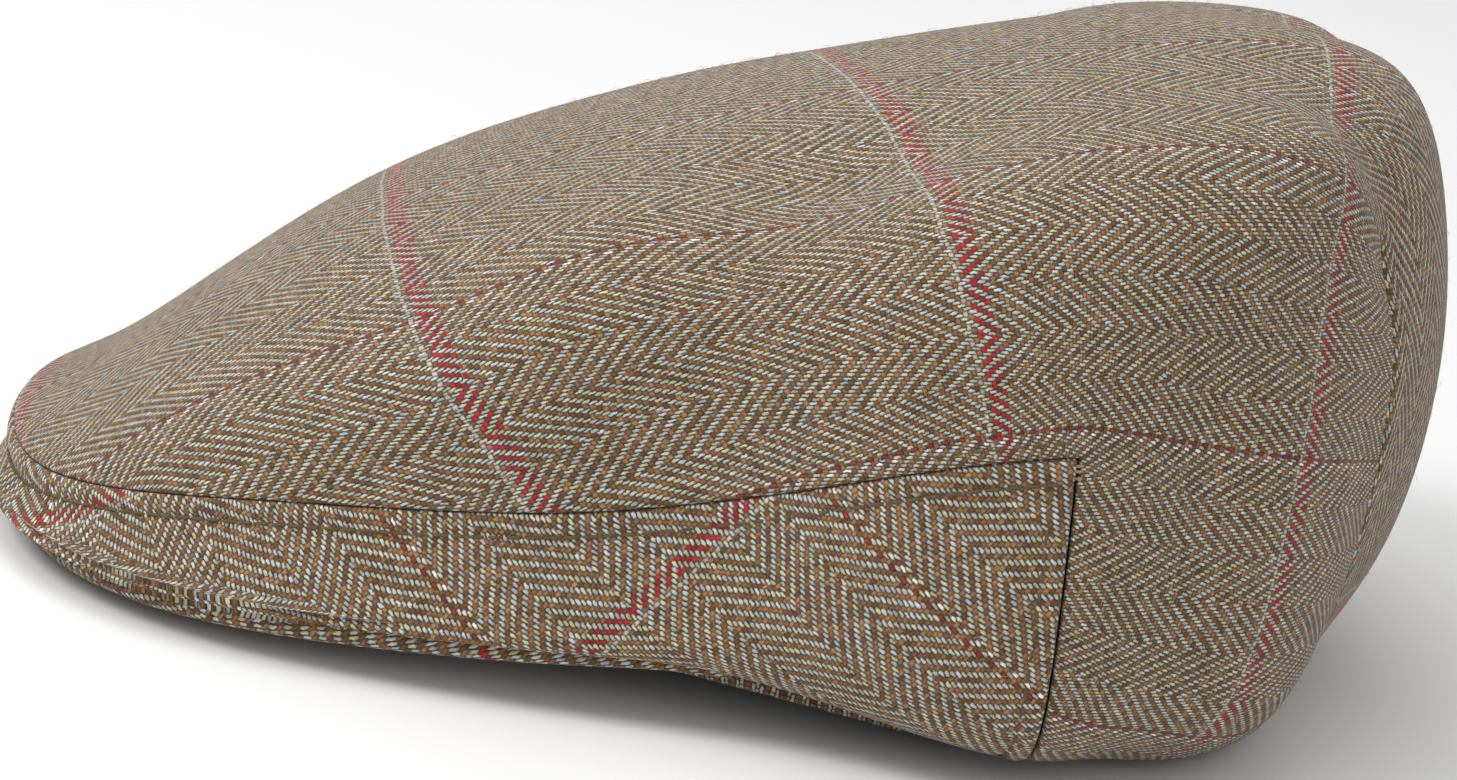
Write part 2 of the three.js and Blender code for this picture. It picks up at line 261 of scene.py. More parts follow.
class Skin:
    """The cap's outer surface. A place is a section (0 front, 8 back, 16 front) and a level."""

    RING_SAMPLES = 128
    HARMONICS = 24
    STEP = 0.01
    NEAR_AXIS = 6.96
    TRACK_POINTS = 33

    def __init__(self):
        size = sizes()
        order = list(range(BACK + 1)) + list(range(BACK - 1, 0, -1))
        reach = np.array(REACH, float)
        turn = reach[order, 0]
        turn[BACK + 1:] = 360 - turn[BACK + 1:]
        turn = np.radians(turn)[:, None]
        out = reach[order, 1:]
        share = np.where(np.cos(turn) > 0, size.front_share, 1 - size.front_share)
        self.knots = np.stack([
            size.width / 2 * np.sin(turn) * out,
            -size.length * share * np.cos(turn) * out,
            size.height * np.array(RISE)[order],
        ], axis=-1) / MM
        self.axis_point = np.array([0, 0, size.height * size.axis_rise / MM])
        self.shift = np.zeros(3)
        self._fit_top()
        # The skin stands where the solid front band does
        front = self.point(np.linspace(-1, 1, 41), np.linspace(LOW, SEAM, 31))
        self.shift[1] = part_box("front_band")[0][1] / MM - front[..., 1].min()
        self.folds = [self._fold_line(fold, side) for fold in FOLDS for side in fold[1]]

    def _rails(self, places, levels):
        """Points on the sections' curves, which run over the axis to the far side."""
        here = curve(self.knots, places, True)
        there = curve(self.knots, np.asarray(places) + BACK, True)[:, ::-1]
        axis = np.broadcast_to(self.axis_point, (len(here), 1, 3))
        rails = np.concatenate([here, axis, there], axis=1)
        return curve(rails.swapaxes(0, 1), levels, False).swapaxes(0, 1)

    def _fit_top(self):
        """The crown's top as a smooth cap on the ring at its top level."""
        places = np.arange(self.RING_SAMPLES) * AROUND / self.RING_SAMPLES
        below, ring, above = (
            self._rails(places, [TOP + k * self.STEP])[:, 0] for k in (-1, 0, 1))
        fall = (below - above) / (2 * self.STEP)
        orders = np.arange(self.HARMONICS + 1)
        waves = np.fft.rfft(ring, axis=0)[orders] / self.RING_SAMPLES
        slopes = np.fft.rfft(fall, axis=0)[orders] / self.RING_SAMPLES
        self.second = (slopes - orders[:, None] * waves) / 2
        self.first = waves - self.second
        self.orders = orders

    def _top(self, places, levels):
        """Points above the top level."""
        rho = np.asarray(AXIS - levels)[None, :, None, None]
        angle = 2 * np.pi * np.asarray(places) / AROUND
        wave = np.exp(1j * angle[:, None] * self.orders)[:, None, :, None]
        size = rho ** self.orders[None, None, :, None]
        terms = wave * size * (self.first + self.second * rho ** 2)
        weight = np.where(self.orders == 0, 1, 2)[None, None, :, None]
        return (terms * weight).sum(axis=2).real

    def point(self, places, levels):
        """Points in mm, as sections by levels by 3."""
        places = np.atleast_1d(np.asarray(places, float))
        levels = np.atleast_1d(np.asarray(levels, float))
        points = self._rails(places, np.minimum(levels, TOP))
        high = levels > TOP
        if high.any():
            points[:, high] = self._top(places, levels[high])
        return points + self.shift

    def normal(self, places, levels):
        """Outward normals at the same places."""
        places = np.atleast_1d(np.asarray(places, float))
        levels = np.atleast_1d(np.asarray(levels, float))
        below = np.minimum(levels, self.NEAR_AXIS)
        step = self.STEP
        around = self.point(places + step, below) - self.point(places - step, below)
        climb = self.point(places, below + step) - self.point(places, below - step)
        normal = unit(np.cross(around, climb))
        at_axis = levels >= AXIS
        if at_axis.any():
            normal[:, at_axis] = (0, 0, 1)
        return normal

    def _fold_line(self, fold, side):
        """A fold's line of points on the skin, with its width and depth."""
        _, _, stops, width, depth = fold
        stops = np.array(stops, float)
        order = np.arange(len(stops))
        counted = np.linspace(0, len(stops) - 1, self.TRACK_POINTS)
        places, levels = (np.interp(counted, order, stops[:, k]) for k in (0, 1))
        line = [self.point([side * s], [t])[0, 0] for s, t in zip(places, levels)]
        return np.array(line), width, depth

    def press(self, points):
        """How far the folds press each point in, in mm."""
        flat = points.reshape(-1, 3)
        depth = np.zeros(len(flat))
        for line, width, fold_depth in self.folds:
            nearest = np.full(len(flat), np.inf)
            for start, step in zip(line[:-1], np.diff(line, axis=0)):
                u = np.clip((flat - start) @ step / (step @ step), 0, 1)
                gap = np.linalg.norm(flat - start - u[:, None] * step, axis=1)
                nearest = np.minimum(nearest, gap)
            depth += fold_depth * np.exp(-((nearest / width) ** 2))
        return depth.reshape(points.shape[:-1])


# Flattening the cloth, so that its weave lies as in the cut pieces


UNWRAP_ROUNDS = 40

# Places closer than these are the same one
SAME_PLACE = 1e-6
ROUNDING = 1e-9

def unwrapped(vertices, faces, seams):
    """The faces' corners laid flat with the least stretch, at true size in mm."""
    mesh = bpy.data.meshes.new("pattern")
    mesh.from_pydata(vertices.tolist(), [], faces)
    mesh.update()
    if seams:
        wanted = {tuple(sorted(edge)) for edge in seams}
        for edge in mesh.edges:
            if tuple(sorted(edge.vertices)) in wanted:
                edge.use_seam = True
    piece = linked("pattern", mesh)
    for other in bpy.context.selected_objects:
        other.select_set(False)
    bpy.context.view_layer.objects.active = piece
    piece.select_set(True)
    mesh.uv_layers.new(name="flat")
    bpy.ops.object.mode_set(mode="EDIT")
    bpy.ops.mesh.select_all(action="SELECT")
    bpy.ops.uv.unwrap(method="MINIMUM_STRETCH", margin=0.0, iterations=UNWRAP_ROUNDS)
    bpy.ops.object.mode_set(mode="OBJECT")
    flat = np.zeros(len(mesh.loops) * 2)
    mesh.uv_layers[0].uv.foreach_get("vector", flat)
    flat = flat.reshape(-1, 2)
    corners = np.zeros(len(mesh.loops), int)
    mesh.loops.foreach_get("vertex_index", corners)
    bpy.data.objects.remove(piece)
    bpy.data.meshes.remove(mesh)
    start = 0
    real, drawn = 0.0, 0.0
    for face in faces:
        ids = np.arange(start, start + len(face))
        ahead = np.roll(ids, -1)
        real += np.linalg.norm(vertices[corners[ids]] - vertices[corners[ahead]], axis=1).sum()
        drawn += np.linalg.norm(flat[ids] - flat[ahead], axis=1).sum()
        start += len(face)
    return flat * (real / drawn)


class Pattern:
    """A piece's flat pattern: for any place on the skin, where it lies on the bolt of cloth."""

    CELLS = 8

    def __init__(self, skin, sections, levels, wanted, cuts=()):
        step = 1 / self.CELLS
        self.step = step
        self.first, self.last = sections
        self.low, self.high = levels
        self.closed = self.last - self.first == AROUND
        places = np.arange(round((self.last - self.first) / step) + 1) * step + self.first
        heights = np.arange(round((self.high - self.low) / step) + 1) * step + self.low
        points = skin.point(places, heights)
        columns, rows = len(places), len(heights)
        turns = columns - 1 if self.closed else columns
        has_axis = self.high == AXIS
        index = -np.ones((columns, rows), int)
        vertices, faces, owners = [], [], []

        def vertex(i, j):
            if self.closed:
                i %= turns
            if has_axis and j == rows - 1:
                i = 0
            if index[i, j] < 0:
                index[i, j] = len(vertices)
                vertices.append(points[i, j])
            return int(index[i, j])

        seams = []
        for i in range(columns - 1):
            for j in range(rows - 1):
                if not wanted(places[i] + step / 2, heights[j] + step / 2):
                    continue
                corners = [(i, j), (i + 1, j), (i + 1, j + 1), (i, j + 1)]
                if has_axis and j == rows - 2:
                    corners = corners[:3]
                faces.append([vertex(*corner) for corner in corners])
                owners.append(corners)
                for cut, top in cuts:
                    if abs(places[i] - cut) < SAME_PLACE and heights[j] < top - SAME_PLACE:
                        seams.append((vertex(i, j), vertex(i, j + 1)))
        flat = unwrapped(np.array(vertices), faces, seams)
        self.before = np.full((columns, rows, 2), np.nan)
        self.after = np.full((columns, rows, 2), np.nan)
        start = 0
        for corners in owners:
            left = corners[0][0]
            for k, (i, j) in enumerate(corners):
                side = self.after if i == left else self.before
                side[i, j] = flat[start + k]
                if has_axis and j == rows - 1:
                    self.before[:, j] = self.after[:, j] = flat[start + k]
            start += len(corners)
        self._align(places)

    def _align(self, places):
        """Turns the pattern so that its middle line is upright and the left side lies to +u."""
        columns = len(places)
        if self.closed:
            pairs = [(i, columns - 1 - i) for i in range(1, columns // 2)]
        else:
            pairs = [(columns - 1 - i, i) for i in range(columns // 2)]
        right, left = [], []
        for i, k in pairs:
            right.append(self.after[i] if self.closed else self.before[i])
            left.append(self.before[k] if self.closed else self.after[k])
        right, left = np.array(right), np.array(left)
        across = unit(np.nansum((right - left).reshape(-1, 2), axis=0))
        upward = np.array([-across[1], across[0]])
        turned = np.stack([across, upward])
        self.before, self.after = self.before @ turned.T, self.after @ turned.T
        middle = np.nanmean(((right + left) / 2).reshape(-1, 2), axis=0) @ turned.T
        for side in (self.before, self.after):
            side[..., 0] -= middle[0]

    def raw(self, places, levels, side):
        """The flat positions at places on the skin, from the higher (1) or lower (-1) side."""
        s = (np.asarray(places, float) - self.first) / self.step
        t = (np.asarray(levels, float) - self.low) / self.step
        count = self.before.shape[0] - 1
        if self.closed:
            s = np.mod(s, count)
            if side < 0:
                s = np.where(s < ROUNDING, count, s)
        i = np.floor(s + ROUNDING) if side > 0 else np.ceil(s - ROUNDING) - 1
        i = np.clip(i, 0, count - 1).astype(int)
        j = np.clip(np.floor(t + ROUNDING), 0, self.before.shape[1] - 2).astype(int)
        fs, ft = (s - i)[:, None, None], (t - j)[None, :, None]
        corner = [
            self.after[i][:, j], self.before[i + 1][:, j],
            self.after[i][:, j + 1], self.before[i + 1][:, j + 1]]
        corner = [np.nan_to_num(c) for c in corner]
        return ((1 - ft) * ((1 - fs) * corner[0] + fs * corner[1])
                + ft * ((1 - fs) * corner[2] + fs * corner[3]))


def eased(flats):
    """The crown's flat positions as its cloth is eased over the head."""
    runs, pushes, leans, shifts = np.array(EASE, float).T
    u, v = flats[..., 0], flats[..., 1]
    push, lean, shift = (np.interp(v, runs, values) for values in (pushes, leans, shifts))
    return np.stack([u + push, v - lean * u / LEAN_RUN + shift], axis=-1)


def bent(flats):
    """The front band's flat positions, cut on a stronger curve."""
    turn, reach, middle = BAND_BEND
    run = np.arange(-BEND_RUN, BEND_RUN + 1)
    angle = -math.radians(turn) * np.tanh(run / reach)
    ahead, aside = np.cumsum(np.cos(angle)), np.cumsum(np.sin(angle))
    ahead -= ahead[BEND_RUN]
    aside -= aside[BEND_RUN]
    u, v = flats[..., 0], flats[..., 1] - middle
    here = np.interp(u, run, angle)
    return np.stack([
        np.interp(u, run, ahead) - v * np.sin(here),
        np.interp(u, run, aside) + v * np.cos(here) + middle], axis=-1)


# Building cloth pieces


def cloth_mesh(name, layers, wanted, flat_after, flat_before, closed):
    """A closed cloth wall from its outer and inner points, with its flat pattern as UV.

    A closed piece goes all round the cap, and its last row is the single point on the axis.
    """
    columns, rows = layers[0].shape[:2]
    span = columns if closed else columns - 1
    used = {}
    vertices, faces, flats = [], [], []

    def vertex(layer, i, j):
        i %= columns
        if closed and j == rows - 1:
            i = 0
        key = (layer, i, j)
        if key not in used:
            used[key] = len(vertices)
            vertices.append(layers[layer][i, j] * MM)
        return used[key]

    def has(i, j):
        """Whether cloth covers a cell. Past the axis it goes on, down the far side."""
        if not 0 <= j < rows - 1:
            return closed and j == rows - 1
        if not closed and not 0 <= i < span:
            return False
        return wanted[i % span, j]

    def face(column, corners):
        ids = [vertex(*corner) for corner in corners]
        keep = [k for k in range(len(ids)) if ids[k] != ids[k - 1]]
        if len(keep) < 3:
            return
        faces.append([ids[k] for k in keep])
        for k in keep:
            _, i, j = corners[k]
            table = flat_after if i == column else flat_before
            flats.append(table[i % columns, j])

    for i in range(span):
        for j in range(rows - 1):
            if not has(i, j):
                continue
            k, m = i + 1, j + 1
            face(i, [(0, i, j), (0, k, j), (0, k, m), (0, i, m)])
            face(i, [(1, i, j), (1, i, m), (1, k, m), (1, k, j)])
            for beyond, layer, start, end in (
                    ((i, j - 1), 1, (i, j), (k, j)), ((i, m), 0, (i, m), (k, m)),
                    ((i - 1, j), 0, (i, j), (i, m)), ((k, j), 1, (k, j), (k, m))):
                if not has(*beyond):
                    other = 1 - layer
                    face(i, [(layer, *start), (layer, *end), (other, *end), (other, *start)])
    return finished_mesh(name, vertices, faces, flats)


def finished_mesh(name, vertices, faces, flats):
    """A smooth-shaded mesh object with a UV map in mm of cloth."""
    mesh = bpy.data.meshes.new(name)
    mesh.from_pydata([tuple(map(float, v)) for v in vertices], [], faces)
    layer = mesh.uv_layers.new(name="cloth")
    layer.uv.foreach_set("vector", np.array(flats, np.float32).ravel())
    mesh.update()
    mesh.validate()
    mesh.shade_smooth()
    return linked(name, mesh)


def lengths_along(points, axis):
    """Running length in mm along one axis of a grid of points."""
    steps = np.linalg.norm(np.diff(points, axis=axis), axis=-1)
    total = np.cumsum(steps, axis=axis)
    pad = [(0, 0), (0, 0)]
    pad[axis] = (1, 0)
    return np.pad(total, pad)


def turned_edge(distance, radius):
    """How far a cloth's turned edge drops at a distance from the seam."""
    past = np.clip(1 - distance / radius, 0, 1)
    return radius * (1 - np.sqrt(1 - past ** 2 + 1e-12))


# A row of topstitching: the dip under it and the swell half way to the seam, as a height and a
# width in mm
STITCH_DIP = (0.45, 0.9)
STITCH_SWELL = (0.35, 1.2)


def topstitch_dip(distance, inset):
    """The dip under a row of topstitching less the soft swell beside it."""
    (deep, dip_width), (high, swell_width) = STITCH_DIP, STITCH_SWELL
    dip = deep * np.exp(-(((distance - inset) / dip_width) ** 2))
    return dip - high * np.exp(-(((distance - inset / 2) / swell_width) ** 2))


def walls(smooth, normal, press):
    """The cloth's outer and inner points, from how far the skin is pressed in."""
    deeper = press + sizes().wall / MM
    return [smooth - normal * depth[..., None] for depth in (press, deeper)]


def open_seam(layers, smooth, seam, inside):
    """Draws a seam's points half a gap back, towards the points just inside it."""
    half_gap = sizes().seam_gap / MM / 2
    back = unit(smooth[inside] - smooth[seam]) * half_gap
    for layer in layers:
        layer[seam] += back


# The grids' columns to a section and rows to a level, and the finer ones beside a seam
CROWN_COLUMNS = 18
CROWN_ROWS = (7, 9, 15, 18, 18, 18, 22)
BAND_COLUMNS = 24
BAND_ROWS = (12, 20)
FINE_COLUMNS = np.array((0.008, 0.02, 0.036, 0.06))
FINE_ROWS = np.array((0.015, 0.035, 0.07))
TOO_CLOSE = 0.012


def levels_from(first, counts):
    """Rising levels from the first one, with a count of rows for each whole level."""
    parts = [np.linspace(first + k, first + k + 1, count, endpoint=False)
             for k, count in enumerate(counts)]
    return np.concatenate(parts + [[first + len(counts)]])


def merged(values, extra):
    """Values with the extra ones put in, where they aren't too close to another."""
    keep = [v for v in values if all(abs(v - e) > TOO_CLOSE or v == e for e in extra)]
    return np.unique(np.round(np.concatenate([keep, extra]), 5))


def crown_grid():
    """The crown's columns and rows."""
    extra = [middle + offset for middle in (SIDE_SEAM, DART, AROUND - DART, AROUND - SIDE_SEAM)
             for offset in (0, *FINE_COLUMNS, *-FINE_COLUMNS)]
    columns = merged(np.arange(AROUND * CROWN_COLUMNS) / CROWN_COLUMNS, np.array(extra))
    rows = merged(levels_from(HEM, CROWN_ROWS), np.array([SEAM, *(SEAM + FINE_ROWS)]))
    return columns, rows


def band_grid():
    """The front band's columns and rows."""
    count = SIDE_SEAM * BAND_COLUMNS
    extra = np.array([side * (SIDE_SEAM - FINE_COLUMNS) for side in (-1, 1)]).ravel()
    columns = merged(np.arange(-count, count + 1) / BAND_COLUMNS, extra)
    return columns, merged(levels_from(EDGE, BAND_ROWS), SEAM - FINE_ROWS)


class CAP_OT_crown(bpy.types.Operator):
    """Makes the one-piece top with its back darts"""

    bl_idname = "cap.crown"
    bl_label = "Crown"

    def execute(self, context):
        skin = Skin()
        columns, rows = crown_grid()

        def is_crown(place, level):
            return level > SEAM or SIDE_SEAM < place % AROUND < AROUND - SIDE_SEAM

        darts = [(DART, DART_TOP), (AROUND - DART, DART_TOP)]
        pattern = Pattern(skin, (0, AROUND), (HEM, AXIS), is_crown, darts)
        smooth = skin.point(columns, rows)
        normal = skin.normal(columns, rows)
        rise = lengths_along(smooth, 1)
        seam_row = int(np.argmin(abs(rows - SEAM)))
        over_seam = rise - rise[:, seam_row:seam_row + 1]
        is_front = (columns <= SIDE_SEAM) | (columns >= AROUND - SIDE_SEAM)
        is_low = rows < SEAM
        radius = sizes().seam_radius / MM
        press = skin.press(smooth)
        press += np.where(is_front[:, None] & ~is_low, turned_edge(abs(over_seam), radius), 0)
        side_seams = [
            int(np.argmin(abs(columns - seam))) for seam in (SIDE_SEAM, AROUND - SIDE_SEAM)]
        for column in side_seams:
            from_seam = np.linalg.norm(smooth - smooth[column], axis=-1)
            press += np.where(is_low, turned_edge(from_seam, radius), 0)
            from_corner = np.linalg.norm(smooth - smooth[column, seam_row], axis=-1)
            press += np.where(
                ~is_low & ~is_front[:, None], turned_edge(from_corner, radius), 0)
        layers = walls(smooth, normal, press)
        for column, side in zip(side_seams, (1, -1)):
            open_seam(layers, smooth, (column, is_low), (column + side, is_low))
        open_seam(layers, smooth, (is_front, seam_row), (is_front, seam_row + 1))
        middles = (columns + np.append(columns[1:], AROUND)) / 2
        heights = (rows[1:] + rows[:-1]) / 2
        wanted = np.array([[is_crown(s, t) for t in heights] for s in middles])
        after, before = (eased(pattern.raw(columns, rows, side)) for side in (1, -1))
        piece = cloth_mesh("crown_cloth", layers, wanted, after, before, True)
        piece.data.materials.append(tweed_material("tweed crown", CROWN_CHECK))
        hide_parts("crown")
        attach(piece, "root")
        return {"FINISHED"}


class CAP_OT_front_band(bpy.types.Operator):
    """Makes the band from side seam to side seam over the peak"""

    bl_idname = "cap.front_band"
    bl_label = "Front band"

    def execute(self, context):
        skin = Skin()
        size = sizes()
        columns, rows = band_grid()
        pattern = Pattern(skin, (-SIDE_SEAM, SIDE_SEAM), (EDGE, SEAM), lambda s, t: True)
        smooth = skin.point(columns, rows)
        normal = skin.normal(columns, rows)
        over_edge = lengths_along(smooth, 1)
        under_seam = over_edge[:, -1:] - over_edge
        sides = [np.linalg.norm(smooth - smooth[column], axis=-1) for column in (0, -1)]
        radius, inset = size.seam_radius / MM, size.stitch_inset / MM
        press = skin.press(smooth) + turned_edge(over_edge, radius)
        for distance in (under_seam, *sides):
            press += turned_edge(distance, radius) + topstitch_dip(distance, inset)
        layers = walls(smooth, normal, press)
        open_seam(layers, smooth, (slice(None), -1), (slice(None), -2))
        for column, nearby in ((0, 1), (-1, -2)):
            open_seam(layers, smooth, column, nearby)
        wanted = np.ones((len(columns) - 1, len(rows) - 1), bool)
        after, before = (bent(pattern.raw(columns, rows, side)) for side in (1, -1))
        piece = cloth_mesh("front_band_cloth", layers, wanted, after, before, False)
        piece.data.materials.append(tweed_material("tweed band", BAND_CHECK))
        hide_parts("front_band")
        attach(piece, "root")
        return {"FINISHED"}


def hem_point(skin, place, inset):
    """A point of the head band's plan, inset from the crown's turned hem."""
    size = sizes()
    hem = skin.point([place], [HEM])[0, 0] - skin.shift
    hem[2] = 0
    clear = size.wall / MM + size.seam_gap / MM + inset
    flat = hem - unit(hem) * clear
    return flat + skin.shift


def ring_mesh(name, profiles, closed, flats):
    """A tube swept through closed profiles, with flat positions for each profile's corners."""
    count, corners = profiles.shape[:2]
    vertices = profiles.reshape(-1, 3) * MM
    faces, uv = [], []
    for i in range(count if closed else count - 1):
        k = (i + 1) % count
        for c in range(corners):
            d = (c + 1) % corners
            faces.append([i * corners + c, k * corners + c, k * corners + d, i * corners + d])
            uv += [flats[i, c], flats[i + 1, c], flats[i + 1, c + 1], flats[i, c + 1]]
    if not closed:
        last = (count - 1) * corners
        faces.append(list(range(corners)))
        faces.append([last + c for c in reversed(range(corners))])
        uv += [flats[0, c] for c in range(corners)]
        uv += [flats[count - 1, c] for c in reversed(range(corners))]
    return finished_mesh(name, vertices, faces, uv)


# The peak in mm: how far it lies under the band and behind its edge
PEAK_DROP = 0.35
PEAK_BACK = 1.0

# It thins over these sections to this share of its thickness at its corners
PEAK_FADE = 1.6
PEAK_CORNER_SHARE = 0.3

# Its root's rise as a share of its width, and its upper and under side as shares of the run out to
# the rim and of that rise
PEAK_RISE = 0.08
PEAK_OVER = ((0, 1), (0.5, 0.55))
PEAK_UNDER = ((0.66, 0.25), (0.33, 0.6), (0, 1))
PEAK_COLUMNS = 169


def peak_profile(width, lowest, thick):
    """The peak's section in mm, out from its root and up from the ground, round its rim."""
    radius = thick / 2
    rise = PEAK_RISE * (width - PEAK_BACK)

    def side(shares, top):
        return [(out * (width - radius), top + up * rise) for out, up in shares]

    turn = np.radians(np.linspace(90, -90, 11))
    rim = np.stack([width - PEAK_BACK - radius + radius * np.cos(turn),
                    lowest - radius + radius * np.sin(turn)], axis=-1)
    return np.concatenate([side(PEAK_OVER, lowest), rim, side(PEAK_UNDER, lowest - thick)])


class CAP_OT_peak(bpy.types.Operator):
    """Makes the stiff covered peak with its rounded rim"""

    bl_idname = "cap.peak"
    bl_label = "Peak"

    def execute(self, context):
        skin = Skin()
        size = sizes()
        profiles, flats = [], []
        for s in np.linspace(-PEAK_CORNER, PEAK_CORNER, PEAK_COLUMNS):
            fade = np.clip((PEAK_CORNER - abs(s)) / PEAK_FADE, 0, 1)
            share = PEAK_CORNER_SHARE + (1 - PEAK_CORNER_SHARE) * math.sin(math.pi / 2 * fade)
            edge, normal = skin.point([s], [EDGE])[0, 0], skin.normal([s], [EDGE])[0, 0]
            edge = edge - normal * skin.press(edge[None])[0]
            lowest = min(edge[2], (edge - normal * size.wall / MM)[2]) - PEAK_DROP
            root = hem_point(skin, s, -size.seam_gap / MM)
            outward = (edge - root) * (1, 1, 0)
            width = np.linalg.norm(outward)
            outward /= width
            profile = peak_profile(width, lowest, size.peak_thickness / MM * share)[::-1]
            points = root + profile[:, :1] * outward
            points[:, 2] = profile[:, 1]
            flat = root[:2] + run_along(profile)[:, None] * outward[:2]
            profiles.append(points)
            flats.append(np.concatenate([flat, flat[:1]]))
        profiles, flats = np.array(profiles), np.array(flats)
        piece = ring_mesh("peak_cloth", profiles, False, flats)
        piece.data.materials.append(tweed_material("tweed peak", PEAK_CHECK))
        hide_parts("peak")
        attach(piece, "root")
        return {"FINISHED"}


# The head band in mm: its thickness and the rounding of its edges
HEAD_BAND_THICK = 2.0
HEAD_BAND_ROUND = 0.9
HEAD_BAND_COLUMNS = 20


class CAP_OT_head_band(bpy.types.Operator):
    """Makes the band round the head opening"""

    bl_idname = "cap.head_band"
    bl_label = "Head band"

    def execute(self, context):
        skin = Skin()
        size = sizes()
        height = size.head_band_height / MM
        places = np.arange(AROUND * HEAD_BAND_COLUMNS) / HEAD_BAND_COLUMNS
        bottoms = np.array([*BAND_BOTTOM, *BAND_BOTTOM[-2:0:-1]], float)[:, None]
        bottoms = np.maximum(0, curve(bottoms, places, True)[:, 0]) * size.height / MM
        turn = np.radians(np.linspace(180, 0, 7))
        across = (1 + np.cos(turn)) / 2
        across = np.concatenate([across, across[::-1]])[:, None]
        inset = HEAD_BAND_ROUND * (1 - np.sin(turn))
        profiles = []
        for s, bottom in zip(places, bottoms):
            outer, inner = hem_point(skin, s, 0), hem_point(skin, s, HEAD_BAND_THICK)
            points = outer + (inner - outer) * across
            points[:, 2] = np.concatenate([bottom + inset, bottom + height - inset[::-1]])
            profiles.append(points)
        profiles = np.array(profiles)
        run = run_along(np.concatenate([profiles[:, 0], profiles[:1, 0]]))
        climb = run_along(np.concatenate([profiles[0], profiles[0][:1]]))
        flats = np.stack(np.meshgrid(run, climb, indexing="ij"), axis=-1)
        piece = ring_mesh("head_band_cloth", profiles, True, flats)
        piece.data.materials.append(tweed_material("tweed head band", HEAD_BAND_CHECK))
        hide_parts("head_band")
        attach(piece, "root")
        return {"FINISHED"}


# Tweed

# The cloth's pitches in mm, its herringbone columns and its overcheck, counted in ends and picks
END_PITCH = 0.5625
PICK_PITCH = 0.9
ENDS_PER_COLUMN = 16
ENDS_PER_CHECK = 96
PICKS_PER_CHECK = 102

# How far the yarns wander, over the cloth and from float to float, in mm
DRIFT = (1.6, 1.6, 0)
SHAKE = (0.62, 0.70, 0)

# A warp float's slant along its length and the share of its end that it fills, turned over
FLOAT_SLANT = 0.24
FLOAT_FILL = 2.2

# The streaks of fibre along a yarn: their counts to a mm across and along it
GRAIN_ACROSS = 5.5
GRAIN_ALONG = 1.4

# The weave's bump, in metres
WEAVE_RELIEF = 0.00032

# Where the overcheck lies on each piece: the crimson end and the cream pick
CROWN_CHECK = {"Check end": 32, "Check pick": 64}
BAND_CHECK = {"End pitch": 0.68, "Pick pitch": 0.76, "Check end": 77, "Check pick": 4}
PEAK_CHECK = {"End pitch": 0.72, "Check end": 20, "Check pick": 70}
HEAD_BAND_CHECK = {"End pitch": 0.72, "Check end": 30, "Check pick": 90}


class Nodes:
    """Adds and links nodes in a tree."""

    def __init__(self, tree):
        self.tree = tree

    def add(self, kind, inputs=(), **settings):
        node = self.tree.nodes.new(kind)
        for name, value in settings.items():
            setattr(node, name, value)
        for key, value in dict(inputs).items():
            self.put(node.inputs[key], value)
        return node

    def put(self, socket, value):
        if isinstance(value, bpy.types.NodeSocket):
            self.tree.links.new(value, socket)
        else:
            socket.default_value = value

    def operated(self, kind, operation, values):
        node = self.add(kind, operation=operation)
        for socket, value in zip(node.inputs, values):
            self.put(socket, value)
        return node.outputs

    def math(self, operation, *values):
        return self.operated("ShaderNodeMath", operation, values)[0]

    def vector(self, operation, *values):
        return self.operated("ShaderNodeVectorMath", operation, values)[0]

    def joined(self, x, y, z):
        return self.add("ShaderNodeCombineXYZ", {"X": x, "Y": y, "Z": z}).outputs[0]

    def tube(self, side):
        """A round yarn's height at a place across it, from -1 to 1."""
        left = self.math("SUBTRACT", 1.0, self.math("POWER", self.math("ABSOLUTE", side), 2.0))
        return self.math("SQRT", self.math("MAXIMUM", left, 0.0))

    def arch(self, along):
        """A float's rise and fall along its length, from 0 to 1."""
        return self.math("SINE", self.math("MULTIPLY", along, math.pi))

    def noise(self, vector, scale, detail=2.0, roughness=0.5):
        return self.add("ShaderNodeTexNoise", {
            "Vector": vector, "Scale": scale, "Detail": detail, "Roughness": roughness})

    def mix(self, factor, a, b, blend="MIX"):
        node = self.add("ShaderNodeMix", data_type="RGBA", blend_type=blend)
        self.put(node.inputs[0], factor)
        self.put(node.inputs[6], a)
        self.put(node.inputs[7], b)
        return node.outputs[2]

    def blend(self, factor, a, b):
        """A number between a and b."""
        node = self.add("ShaderNodeMix", data_type="FLOAT")
        self.put(node.inputs[0], factor)
        self.put(node.inputs[2], a)
        self.put(node.inputs[3], b)
        return node.outputs[0]

    def window(self, value, low, high):
        """1 where a whole number lies from low to high."""
        above = self.math("GREATER_THAN", value, low - 0.5)
        below = self.math("LESS_THAN", value, high + 0.5)
        return self.math("MULTIPLY", above, below)


YARNS = ("sage", "lilac", "brown", "tan", "orange", "gap", "crimson", "white", "cream", "red")


